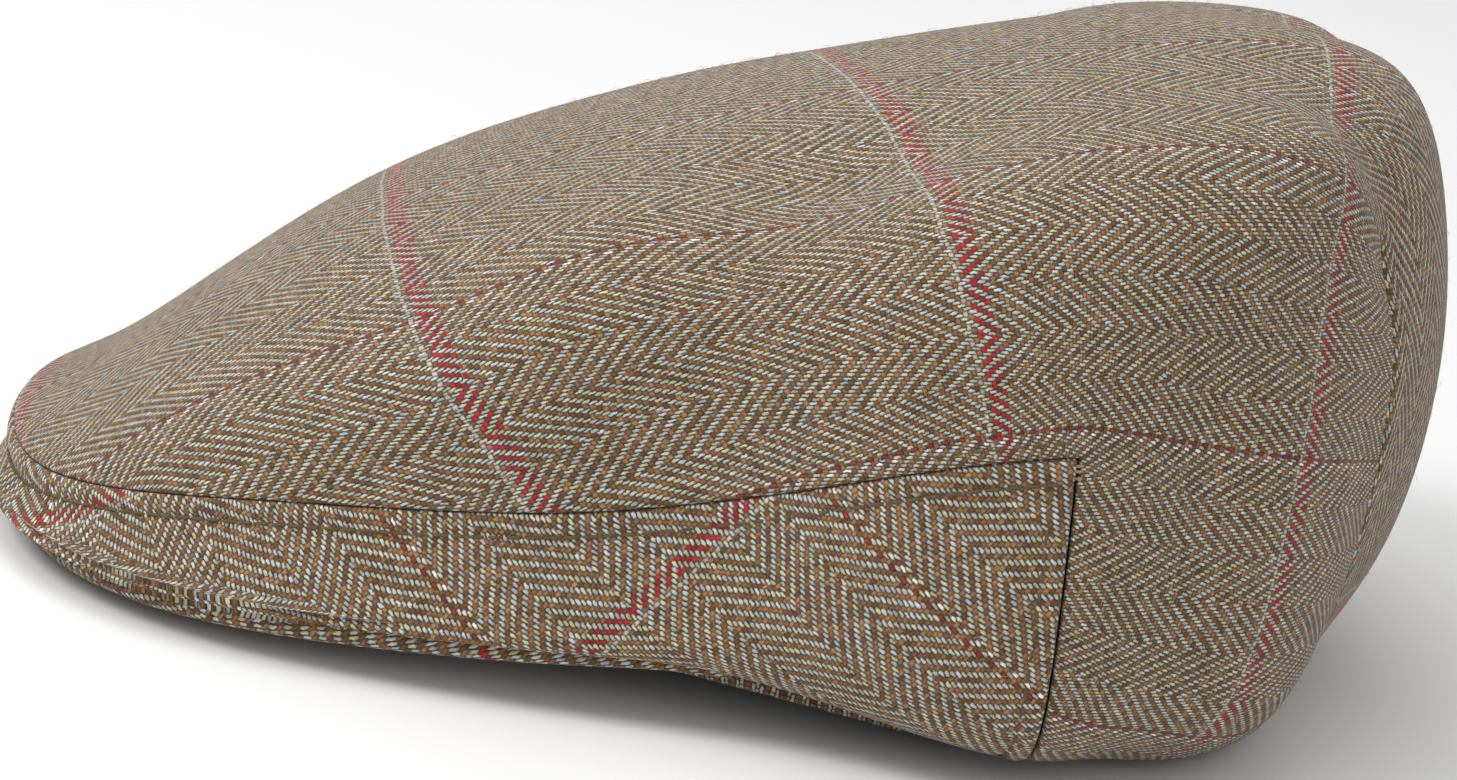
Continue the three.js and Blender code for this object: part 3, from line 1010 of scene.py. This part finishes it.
def tweed_group():
    """The herringbone weave with its overcheck, as colours and heights over the flat cloth."""
    name = "herringbone tweed"
    if name in bpy.data.node_groups:
        return bpy.data.node_groups[name]
    group = bpy.data.node_groups.new(name, "ShaderNodeTree")
    face = group.interface
    face.new_socket("Cloth place", in_out="INPUT", socket_type="NodeSocketVector")
    for number, value in (
            ("End pitch", END_PITCH), ("Pick pitch", PICK_PITCH),
            ("Check end", 48.0), ("Check pick", 0.0)):
        socket = face.new_socket(number, in_out="INPUT", socket_type="NodeSocketFloat")
        socket.default_value = value
    palette = colours()
    for yarn in YARNS:
        socket = face.new_socket(yarn.capitalize(), in_out="INPUT", socket_type="NodeSocketColor")
        socket.default_value = getattr(palette, yarn)
    face.new_socket("Colour", in_out="OUTPUT", socket_type="NodeSocketColor")
    face.new_socket("Height", in_out="OUTPUT", socket_type="NodeSocketFloat")
    n = Nodes(group)
    given = n.add("NodeGroupInput").outputs
    place = given["Cloth place"]

    # The yarns wander a little
    drift = n.noise(place, 0.05).outputs["Color"]
    shake = n.noise(place, 1.5, 2.0).outputs["Color"]
    off = n.vector("ADD", n.vector("MULTIPLY", drift, DRIFT), n.vector("MULTIPLY", shake, SHAKE))
    apart = n.add("ShaderNodeSeparateXYZ", {"Vector": n.vector("ADD", place, off)})
    u = n.math("DIVIDE", apart.outputs[0], given["End pitch"])
    v = n.math("DIVIDE", apart.outputs[1], given["Pick pitch"])
    end, pick = n.math("FLOOR", u), n.math("FLOOR", v)
    fu, fv = n.math("FRACT", u), n.math("FRACT", v)

    # The twill turns back at every column
    column = n.math("FLOOR", n.math("DIVIDE", end, ENDS_PER_COLUMN))
    odd = n.math("FLOORED_MODULO", column, 2.0)
    way = n.math("MULTIPLY_ADD", odd, -2.0, 1.0)
    diagonal = n.math("ADD", pick, n.math("MULTIPLY", way, end))
    step = n.math("FLOORED_MODULO", diagonal, 4.0)
    float_number = n.math("FLOOR", n.math("DIVIDE", diagonal, 4.0))
    is_warp = n.math("LESS_THAN", step, 1.5)
    across = n.math("MULTIPLY_ADD", way, n.math("SUBTRACT", fu, 0.5), 0.5)
    a = n.math("MULTIPLY", n.math("ADD", step, fv), 0.5)
    b = n.math("MULTIPLY", n.math("SUBTRACT", n.math("ADD", step, across), 2.0), 0.5)

    # Yarn profiles: a warp float is a plump, slightly slanted oval
    slant = n.math(
        "MULTIPLY", way, n.math("MULTIPLY_ADD", a, -FLOAT_SLANT, FLOAT_SLANT / 2))
    warp_side = n.math(
        "MULTIPLY_ADD", n.math("ADD", fu, slant), FLOAT_FILL, -FLOAT_FILL / 2)
    warp_high = n.math(
        "MULTIPLY", n.tube(warp_side), n.math("MULTIPLY_ADD", n.arch(a), 0.92, 0.08))
    weft_round = n.tube(n.math("MULTIPLY_ADD", fv, 2.0, -1.0))
    weft_high = n.math("MULTIPLY", n.math("MULTIPLY_ADD", weft_round, 0.6, 0.4),
                       n.math("MULTIPLY_ADD", n.arch(b), 0.5, 0.12))
    height = n.blend(is_warp, weft_high, warp_high)

    # Each float has its own shade, and fibres streak it
    owner = n.blend(is_warp, pick, end)
    kind = n.math("MULTIPLY_ADD", is_warp, 31.0, 5.0)
    dice = n.add("ShaderNodeTexWhiteNoise", {
        "Vector": n.joined(owner, float_number, kind)}, noise_dimensions="3D")
    rolls = n.add("ShaderNodeSeparateColor", {"Color": dice.outputs["Color"]}).outputs
    warp_fibres, weft_fibres = (
        n.noise(n.vector("MULTIPLY", place, grain), 1.0, 3.0, 0.65)
        for grain in ((GRAIN_ACROSS, GRAIN_ALONG, 1), (GRAIN_ALONG, GRAIN_ACROSS, 1)))
    streak = n.blend(is_warp, weft_fibres.outputs[0], warp_fibres.outputs[0])
    tint_colour = n.mix(is_warp, weft_fibres.outputs["Color"], warp_fibres.outputs["Color"])
    tint = n.add("ShaderNodeSeparateColor", {"Color": tint_colour}).outputs

    # Sage and blue ends take turns, by chance now and then, with tan fibres carded in
    parity = n.math("FLOORED_MODULO", end, 2.0)
    blue = n.math("ADD", n.math("MULTIPLY_ADD", parity, 0.55, -0.15),
                  n.math("MULTIPLY", rolls[0], 0.7))
    blue_part = n.add("ShaderNodeClamp", {"Value": blue}).outputs[0]
    warp = n.mix(blue_part, given["Sage"], given["Lilac"])
    warp = n.mix(n.math("MULTIPLY", n.math("GREATER_THAN", tint[1], 0.6), 0.35),
                 warp, given["Tan"])

    # The weft is brown to tan, with orange flecks
    ramp = n.add("ShaderNodeMapRange", {
        "Value": n.math("ADD", rolls[1], n.math("MULTIPLY_ADD", tint[0], 0.9, -0.45)),
        "From Min": 0.35, "From Max": 0.95})
    weft = n.mix(ramp.outputs[0], given["Brown"], given["Tan"])
    bright = n.add("ShaderNodeMapRange", {
        "Value": n.math("ADD", n.math("MULTIPLY", rolls[2], 0.55),
                        n.math("MULTIPLY_ADD", tint[2], 1.8, -0.72)),
        "From Min": 0.62, "From Max": 1.05})
    weft = n.mix(n.math("MULTIPLY", bright.outputs[0], 0.85), weft, given["Orange"])

    # The overcheck's own ends and picks, counted from its crimson end and its cream pick
    line_end = n.math("FLOORED_MODULO", n.math("SUBTRACT", end, given["Check end"]),
                      float(ENDS_PER_CHECK))
    line_pick = n.math("FLOORED_MODULO", n.math("SUBTRACT", pick, given["Check pick"]),
                       float(PICKS_PER_CHECK))
    for first, yarn in ((0, "Crimson"), (2, "White")):
        warp = n.mix(n.window(line_end, first, first), warp, given[yarn])
    for first, last, yarn in ((0, 0, "Cream"), (2, 3, "Red"), (4, 4, "Crimson"), (5, 5, "Red")):
        weft = n.mix(n.window(line_pick, first, last), weft, given[yarn])
    colour = n.mix(is_warp, weft, warp)

    # Shade between the yarns, streaks, and the bloom of worn wool
    lit = n.add("ShaderNodeMapRange", {
        "Value": height, "From Min": 0.08, "From Max": 0.7, "To Min": 0.03, "To Max": 1.0})
    colour = n.mix(lit.outputs[0], given["Gap"], colour)
    value = n.math("MULTIPLY", n.math("MULTIPLY_ADD", streak, 1.7, 0.32),
                   n.math("MULTIPLY_ADD", rolls[2], 0.5, 0.8))
    grey = n.joined(value, value, value)
    colour = n.mix(1.0, colour, grey, "MULTIPLY")
    rough = n.math("MULTIPLY_ADD", streak, 0.35, -0.17)
    out = n.add("NodeGroupOutput")
    n.put(out.inputs["Colour"], colour)
    n.put(out.inputs["Height"], n.math("ADD", height, rough))
    return group


def new_material(name, roughness):
    """A new material, the helper for its nodes and its shader."""
    material = bpy.data.materials.new(name)
    material.use_nodes = True
    shader = material.node_tree.nodes["Principled BSDF"]
    shader.inputs["Roughness"].default_value = roughness
    return material, Nodes(material.node_tree), shader


def tweed_material(name, check):
    """Tweed for one piece, with the overcheck where that piece has it."""
    material, n, shader = new_material(name, 0.92)
    place = n.add("ShaderNodeUVMap", uv_map="cloth").outputs[0]
    weave = n.add("ShaderNodeGroup", {"Cloth place": place, **check}, node_tree=tweed_group())
    bump = n.add("ShaderNodeBump", {
        "Strength": 0.9, "Distance": WEAVE_RELIEF, "Height": weave.outputs["Height"]})
    n.put(shader.inputs["Base Color"], weave.outputs["Colour"])
    n.put(shader.inputs["Normal"], bump.outputs[0])
    shader.inputs["Specular IOR Level"].default_value = 0.2
    shader.inputs["Sheen Weight"].default_value = 0.14
    shader.inputs["Sheen Roughness"].default_value = 0.5
    shader.inputs["Sheen Tint"].default_value = (1.0, 0.95, 0.88, 1)
    return material


# Thread and loose fibres


def thread_material(name, colour, roughness):
    """A sewing thread or a loose fibre of one colour."""
    material, n, shader = new_material(name, roughness)
    place = n.add("ShaderNodeTexCoord").outputs["Object"]
    shade = n.noise(place, 900.0, 2.0).outputs[0]
    value = n.math("MULTIPLY_ADD", shade, 1.1, 0.45)
    tone = n.mix(1.0, n.joined(value, value, value), colour, "MULTIPLY")
    n.put(shader.inputs["Base Color"], tone)
    shader.inputs["Specular IOR Level"].default_value = 0.25
    return material


def scatter_tree(name, numbers):
    """An empty geometry tree with named number inputs, and its helper."""
    tree = bpy.data.node_groups.new(name, "GeometryNodeTree")
    face = tree.interface
    face.new_socket("Geometry", in_out="INPUT", socket_type="NodeSocketGeometry")
    for key, value in numbers.items():
        kind = "NodeSocketInt" if isinstance(value, int) else "NodeSocketFloat"
        face.new_socket(key, in_out="INPUT", socket_type=kind).default_value = value
    face.new_socket("Material", in_out="INPUT", socket_type="NodeSocketMaterial")
    face.new_socket("Geometry", in_out="OUTPUT", socket_type="NodeSocketGeometry")
    n = Nodes(tree)
    return n, n.add("NodeGroupInput").outputs


def thread_form(n, start, middle, end, resolution, sides, radius):
    """A closed round thread along a bowed line."""
    line = n.add("GeometryNodeCurveQuadraticBezier", {
        "Start": start, "Middle": middle, "End": end, "Resolution": resolution})
    ring = n.add("GeometryNodeCurvePrimitiveCircle", {"Resolution": sides, "Radius": radius})
    return n.add("GeometryNodeCurveToMesh", {
        "Curve": line.outputs[0], "Profile Curve": ring.outputs[0],
        "Fill Caps": True}).outputs[0]


def finish_scatter(n, given, instances):
    """Ends a tree with real geometry of one material."""
    real = n.add("GeometryNodeRealizeInstances", {"Geometry": instances}).outputs[0]
    smooth = n.add("GeometryNodeSetShadeSmooth", {"Geometry": real}).outputs[0]
    dressed = n.add("GeometryNodeSetMaterial", {
        "Geometry": smooth, "Material": given["Material"]}).outputs[0]
    out = n.add("NodeGroupOutput")
    n.put(out.inputs[0], dressed)


def stitch_tree():
    """Lays one bowed stitch on each point, along its row and lying on the cloth."""
    name = "stitches along a row"
    if name in bpy.data.node_groups:
        return bpy.data.node_groups[name]
    n, given = scatter_tree(name, {"Stitch length": 0.003, "Thread radius": 0.0003})
    half = n.math("MULTIPLY", given["Stitch length"], 0.5)
    deep = n.math("MULTIPLY", given["Thread radius"], -1.6)
    high = n.math("MULTIPLY", given["Thread radius"], 2.4)
    stitch = thread_form(
        n, n.joined(n.math("MULTIPLY", half, -1.0), 0.0, deep), n.joined(0.0, 0.0, high),
        n.joined(half, 0.0, deep), 9, 8, given["Thread radius"])
    along, out = (n.add("GeometryNodeInputNamedAttribute", {"Name": key},
                        data_type="FLOAT_VECTOR").outputs[0] for key in ("along", "out"))
    turned = n.add("FunctionNodeAlignRotationToVector", {"Vector": along}, axis="X")
    turned = n.add("FunctionNodeAlignRotationToVector", {
        "Rotation": turned.outputs[0], "Vector": out}, axis="Z", pivot_axis="X")
    laid = n.add("GeometryNodeInstanceOnPoints", {
        "Points": given["Geometry"], "Instance": stitch, "Rotation": turned.outputs[0]})
    finish_scatter(n, given, laid.outputs[0])
    return n.tree


# A loose fibre: its root under the cloth in metres, then its bend's and its tip's place as shares
# of its length, the angle it leans by and its shortest and longest scale
FIBRE_ROOT = -0.0002
FIBRE_BEND = (0.3, 0.0, 0.3)
FIBRE_TIP = (0.8, 0.2, 0.12)
FIBRE_LEAN = 0.35
FIBRE_SCALE = (0.35, 1.25)

# A point within the cap, which its outward faces look away from
WITHIN = (0, 0.03, 0.02)


def fibre_tree():
    """Scatters bent loose fibres over the outward faces."""
    name = "loose fibres"
    if name in bpy.data.node_groups:
        return bpy.data.node_groups[name]
    n, given = scatter_tree(name, {
        "Density": 40000.0, "Fibre length": 0.0026, "Fibre radius": 0.00003, "Seed": 7})
    bend, tip = (
        n.joined(*(n.math("MULTIPLY", given["Fibre length"], share) for share in shares))
        for shares in (FIBRE_BEND, FIBRE_TIP))
    fibre = thread_form(
        n, n.joined(0.0, 0.0, FIBRE_ROOT), bend, tip, 5, 3, given["Fibre radius"])
    spot = n.add("GeometryNodeInputPosition").outputs[0]
    normal = n.add("GeometryNodeInputNormal").outputs[0]
    facing = n.operated(
        "ShaderNodeVectorMath", "DOT_PRODUCT", (n.vector("SUBTRACT", spot, WITHIN), normal))
    outward = n.operated("FunctionNodeCompare", "GREATER_THAN", (facing["Value"],))
    points = n.add("GeometryNodeDistributePointsOnFaces", {
        "Mesh": given["Geometry"], "Selection": outward[0],
        "Density": given["Density"], "Seed": given["Seed"]})
    tilt = n.add("FunctionNodeRandomValue", {
        0: (-FIBRE_LEAN, -FIBRE_LEAN, 0), 1: (FIBRE_LEAN, FIBRE_LEAN, 2 * math.pi),
        "Seed": given["Seed"]}, data_type="FLOAT_VECTOR")
    euler = n.add("FunctionNodeEulerToRotation", {"Euler": tilt.outputs[0]})
    turned = n.add("FunctionNodeRotateRotation", {
        "Rotation": points.outputs["Rotation"], "Rotate By": euler.outputs[0]},
        rotation_space="LOCAL")
    grown = n.add("FunctionNodeRandomValue", {
        2: FIBRE_SCALE[0], 3: FIBRE_SCALE[1], "Seed": given["Seed"]}, data_type="FLOAT")
    laid = n.add("GeometryNodeInstanceOnPoints", {
        "Points": points.outputs[0], "Instance": fibre, "Rotation": turned.outputs[0],
        "Scale": grown.outputs[1]})
    finish_scatter(n, given, laid.outputs[0])
    return n.tree


def scattered(name, mesh, tree, values):
    """A plain mesh object made by a geometry tree on a carrier mesh."""
    carrier = linked("carrier", mesh)
    modifier = carrier.modifiers.new("scatter", "NODES")
    modifier.node_group = tree
    for item in tree.interface.items_tree:
        if item.in_out == "INPUT" and item.name in values:
            modifier[item.identifier] = values[item.name]
    carrier.update_tag()
    graph = bpy.context.evaluated_depsgraph_get()
    made = bpy.data.meshes.new_from_object(carrier.evaluated_get(graph))
    bpy.data.objects.remove(carrier)
    made.name = name
    return linked(name, made)


# How far before and after a stitch its direction is read, in mm
STITCH_PROBE = 0.4


def evenly_laid(line, normals, pitch):
    """Middles, directions and normals of stitches laid evenly along a line."""
    run = run_along(line)
    count = max(1, int(run[-1] // pitch))
    spots = (np.arange(count) + 0.5) * run[-1] / count
    along = read_at(spots + STITCH_PROBE, run, line) - read_at(spots - STITCH_PROBE, run, line)
    return read_at(spots, run, line), unit(along), read_at(spots, run, normals)


def beside(skin, places, levels, distance, vertical):
    """The line that runs at a distance in mm from the first of the places or of the levels."""
    points, normals = skin.point(places, levels), skin.normal(places, levels)
    points = points - normals * skin.press(points)[..., None]
    if not vertical:
        points, normals = points.swapaxes(0, 1), normals.swapaxes(0, 1)
    line, out = [], []
    for k in range(points.shape[1]):
        run = run_along(points[:, k])
        line.append(read_at(distance, run, points[:, k]))
        out.append(read_at(distance, run, normals[:, k]))
    return np.array(line), np.array(out)


def stitch_piece(name, rows, colour, length, radius, drop):
    """All stitches of one kind as one piece."""
    spots, ways, outs = (np.concatenate(parts) for parts in zip(*rows))
    mesh = bpy.data.meshes.new("stitch places")
    mesh.from_pydata(((spots - outs * drop) * MM).tolist(), [], [])
    for key, values in (("along", ways), ("out", outs)):
        layer = mesh.attributes.new(key, "FLOAT_VECTOR", "POINT")
        layer.data.foreach_set("vector", values.astype(np.float32).ravel())
    piece = scattered(name, mesh, stitch_tree(), {
        "Stitch length": length, "Thread radius": radius,
        "Material": thread_material(name, colour, 0.75)})
    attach(piece, "root")
    return piece


# Topstitching: its pitch over its stitches' length, its distance from the seam on the crown in mm,
# and how deep it lies in the cloth in mm
STITCH_SPACING = 1.12
CROWN_INSET = 2.6
STITCH_SINK = 0.25

# The tacks: their levels under the seam, their reach either side of the side seam in sections,
# their length in metres, their thread as a share of the topstitching's and how deep they lie in mm
TACK_LEVELS = (0.03, 0.05, 0.075)
TACK_REACH = 0.04
TACK_LENGTH = 0.0028
TACK_THREAD = 0.8
TACK_SINK = 0.35


class CAP_OT_stitching(bpy.types.Operator):
    """Sews the topstitching and the tacks at the side seams"""

    bl_idname = "cap.stitching"
    bl_label = "Stitching"

    def execute(self, context):
        skin = Skin()
        size = sizes()
        inset = size.stitch_inset / MM
        pitch = size.stitch_length / MM * STITCH_SPACING
        under = np.linspace(SEAM, SEAM - 0.9, 60)
        over = np.linspace(SEAM, SEAM + 0.6, 30)
        climb = np.linspace(EDGE + 0.12, SEAM - 0.1, 60)
        around = np.linspace(-SIDE_SEAM + 0.06, SIDE_SEAM - 0.06, 420)
        lines = [beside(skin, around, under, inset, False)]
        tacks = []
        for side in (1, -1):
            inward = side * np.linspace(SIDE_SEAM, SIDE_SEAM - 0.6, 40)
            lines.append(beside(skin, inward, climb, inset, True))
            forward = side * np.linspace(SIDE_SEAM - 0.75, SIDE_SEAM - 0.05, 40)
            lines.append(beside(skin, forward, over, CROWN_INSET, False))
            across = side * np.linspace(SIDE_SEAM - TACK_REACH, SIDE_SEAM + TACK_REACH, 9)
            for drop in TACK_LEVELS:
                level = [SEAM - drop]
                # A pitch longer than the tack lays one stitch
                tacks.append(evenly_laid(
                    skin.point(across, level)[:, 0], skin.normal(across, level)[:, 0], 10.0))
        rows = [evenly_laid(line, out, pitch) for line, out in lines]
        stitch_piece("topstitching", rows, colours().thread, size.stitch_length,
                     size.thread_radius, STITCH_SINK)
        stitch_piece("bar_tacks", tacks, colours().tack, TACK_LENGTH,
                     size.thread_radius * TACK_THREAD, TACK_SINK)
        return {"FINISHED"}


class CAP_OT_fibres(bpy.types.Operator):
    """Scatters the loose fibres of the wool over the outside"""

    bl_idname = "cap.fibres"
    bl_label = "Fibres"

    def execute(self, context):
        size = sizes()
        fuzz = thread_material("loose fibre", colours().fibre, 0.9)
        for cloth, name in (("crown_cloth", "crown_fibres"), ("front_band_cloth", "band_fibres")):
            mesh = bpy.data.objects[cloth].data.copy()
            mesh.materials.clear()
            piece = scattered(name, mesh, fibre_tree(), {
                "Density": size.fibre_density, "Fibre length": size.fibre_length,
                "Fibre radius": size.fibre_radius, "Seed": size.seed, "Material": fuzz})
            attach(piece, "root")
        return {"FINISHED"}


# Studio

CAMERA_TURN = 96.0
CAMERA_LIFT = 16.0
CAMERA_ROLL = -7.4
CAMERA_DISTANCE = 0.9
CAMERA_TARGET = (0.0, 0.0015, 0.0364)
CAMERA_LENS = 112.6
CAMERA_SENSOR = 36

FLOOR_HALF = 4.0
SKY_STRENGTH = 0.55

# Each light's name, place and size in metres, and power in watts. All aim at the cap's middle.
LIGHT_AIM = (0, 0, 0.05)
LIGHTS = (
    ("key", (0.5, -1.1, 1.4), 0.7, 17),
    ("top", (-0.2, -0.2, 1.6), 1.2, 9),
    ("fill", (1.4, 0.9, 0.7), 1.0, 2.6),
)


def camera_matrix():
    """The photographed angle: turned, lifted and rolled round the cap."""
    turn, lift, roll = map(math.radians, (CAMERA_TURN, CAMERA_LIFT, CAMERA_ROLL))
    back = Vector((math.sin(turn) * math.cos(lift), -math.cos(turn) * math.cos(lift),
                   math.sin(lift)))
    right = Vector((math.cos(turn), math.sin(turn), 0))
    up = back.cross(right)
    rolled_right = right * math.cos(roll) - up * math.sin(roll)
    rolled_up = right * math.sin(roll) + up * math.cos(roll)
    axes = Matrix((rolled_right, rolled_up, back)).transposed().to_4x4()
    return Matrix.Translation(Vector(CAMERA_TARGET) + back * CAMERA_DISTANCE) @ axes


def area_light(name, spot, size, power):
    """A soft square light."""
    light = bpy.data.lights.new(name, "AREA")
    light.shape = "SQUARE"
    light.size = size
    light.energy = power
    aim = (Vector(LIGHT_AIM) - Vector(spot)).to_track_quat("-Z", "Y")
    linked(name, light).matrix_world = Matrix.Translation(spot) @ aim.to_matrix().to_4x4()


class CAP_OT_studio(bpy.types.Operator):
    """Makes the pale floor, the soft lights and the camera"""

    bl_idname = "cap.studio"
    bl_label = "Studio"

    def execute(self, context):
        scene = context.scene
        corners = [(x * FLOOR_HALF, y * FLOOR_HALF, 0)
                   for x, y in ((-1, -1), (1, -1), (1, 1), (-1, 1))]
        mesh = bpy.data.meshes.new("floor")
        mesh.from_pydata(corners, [], [(0, 1, 2, 3)])
        floor = linked("floor", mesh)
        paint, _, shader = new_material("floor paint", 0.8)
        shader.inputs["Base Color"].default_value = colours().floor
        mesh.materials.append(paint)
        world = bpy.data.worlds.new("studio")
        world.use_nodes = True
        sky = world.node_tree.nodes["Background"]
        sky.inputs["Color"].default_value = (1, 1, 1, 1)
        sky.inputs["Strength"].default_value = SKY_STRENGTH
        scene.world = world
        for light in LIGHTS:
            area_light(*light)
        lens = bpy.data.cameras.new("camera")
        lens.lens = CAMERA_LENS
        lens.sensor_width = CAMERA_SENSOR
        lens.clip_start = 0.01
        camera = linked("camera", lens)
        camera.matrix_world = camera_matrix()
        scene.camera = camera
        scene.view_settings.view_transform = "Standard"
        return {"FINISHED"}


class CAP_PT_panel(bpy.types.Panel):
    """Lists the cap's sizes, colours and pieces"""

    bl_idname = "CAP_PT_panel"
    bl_label = "Tweed flat cap"
    bl_space_type = "VIEW_3D"
    bl_region_type = "UI"
    bl_category = "Cap"

    def draw(self, context):
        for settings in (context.scene.cap_sizes, context.scene.cap_colours):
            box = self.layout.box()
            for key in settings.__annotations__:
                box.prop(settings, key)
        for operator in OPERATORS:
            self.layout.operator(operator.bl_idname)


OPERATORS = (
    CAP_OT_studio, CAP_OT_crown, CAP_OT_front_band, CAP_OT_peak, CAP_OT_head_band,
    CAP_OT_stitching, CAP_OT_fibres)
CLASSES = (CapSizes, CapColours, *OPERATORS, CAP_PT_panel)


def register():
    """Adds the classes and the scene's settings."""
    for item in CLASSES:
        bpy.utils.register_class(item)
    bpy.types.Scene.cap_sizes = PointerProperty(type=CapSizes)
    bpy.types.Scene.cap_colours = PointerProperty(type=CapColours)


def unregister():
    """Takes them away again."""
    del bpy.types.Scene.cap_colours
    del bpy.types.Scene.cap_sizes
    for item in reversed(CLASSES):
        bpy.utils.unregister_class(item)


def main():
    """Makes the whole cap and its studio."""
    register()
    bpy.ops.cap.studio()
    bpy.ops.cap.crown()
    bpy.ops.cap.front_band()
    bpy.ops.cap.peak()
    bpy.ops.cap.head_band()
    bpy.ops.cap.stitching()
    bpy.ops.cap.fibres()


if __name__ == "__main__":
    main()
